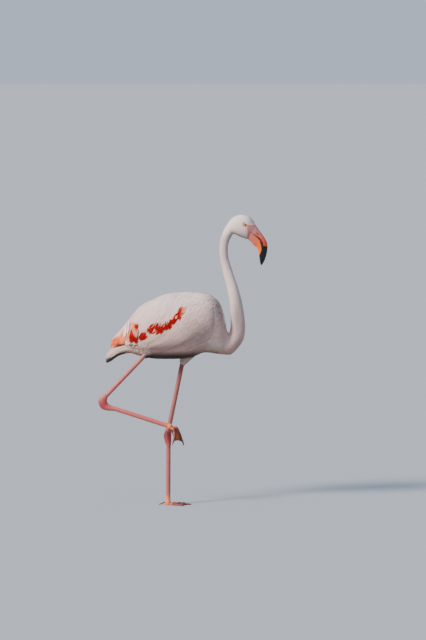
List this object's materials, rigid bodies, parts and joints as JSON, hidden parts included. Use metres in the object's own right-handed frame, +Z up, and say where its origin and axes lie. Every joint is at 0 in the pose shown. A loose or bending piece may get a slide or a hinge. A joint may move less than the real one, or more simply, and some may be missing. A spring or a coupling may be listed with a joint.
{
  "type": "greater flamingo",
  "caption": "Life-size still greater flamingo standing on its left leg with the right foot lifted in mid stride, neck in a gentle S, bill hanging down.",
  "frame": {"origin": "middle of the standing (left) foot's pad, on the floor", "axes": "+Z up, +X the way the bird faces, +Y the bird's left side"},
  "size_m": [0.6754, 0.2196, 1.1649],
  "materials": {
    "plumage": "soft pinkish white feathers",
    "wing_plumage": "pinkish white feathers with crimson coverts and salmon tips",
    "eye": "wet gloss, pale yellow iris with a black pupil",
    "bill": "satin pink and orange horn with a glossy black tip",
    "leg_skin": "bare salmon-pink scaly skin, darker at the ankles",
    "foot_skin": "bare orange-pink skin and webs",
    "claw": "dark horn"
  },
  "bodies": {
    "root": {"trunk": "plumage", "neck_base": "plumage", "neck_lower": "plumage", "neck_middle": "plumage", "neck_upper": "plumage", "head": "plumage", "tail": "plumage", "thigh_left": "plumage", "thigh_right": "plumage", "wing_left": "wing_plumage", "wing_right": "wing_plumage", "eye_left": "eye", "eye_right": "eye", "bill_upper": "bill", "bill_lower": "bill", "shank_left": "leg_skin", "shank_right": "leg_skin", "ankle_left": "leg_skin", "ankle_right": "leg_skin", "tarsus_left": "leg_skin", "tarsus_right": "leg_skin", "pad_left": "foot_skin", "pad_right": "foot_skin", "toe_inner_left": "foot_skin", "toe_middle_left": "foot_skin", "toe_outer_left": "foot_skin", "toe_hind_left": "foot_skin", "toe_inner_right": "foot_skin", "toe_middle_right": "foot_skin", "toe_outer_right": "foot_skin", "toe_hind_right": "foot_skin", "web_inner_left": "foot_skin", "web_outer_left": "foot_skin", "web_inner_right": "foot_skin", "web_outer_right": "foot_skin", "claw_inner_left": "claw", "claw_middle_left": "claw", "claw_outer_left": "claw", "claw_hind_left": "claw", "claw_inner_right": "claw", "claw_middle_right": "claw", "claw_outer_right": "claw", "claw_hind_right": "claw"}
  },
  "joints": []
}
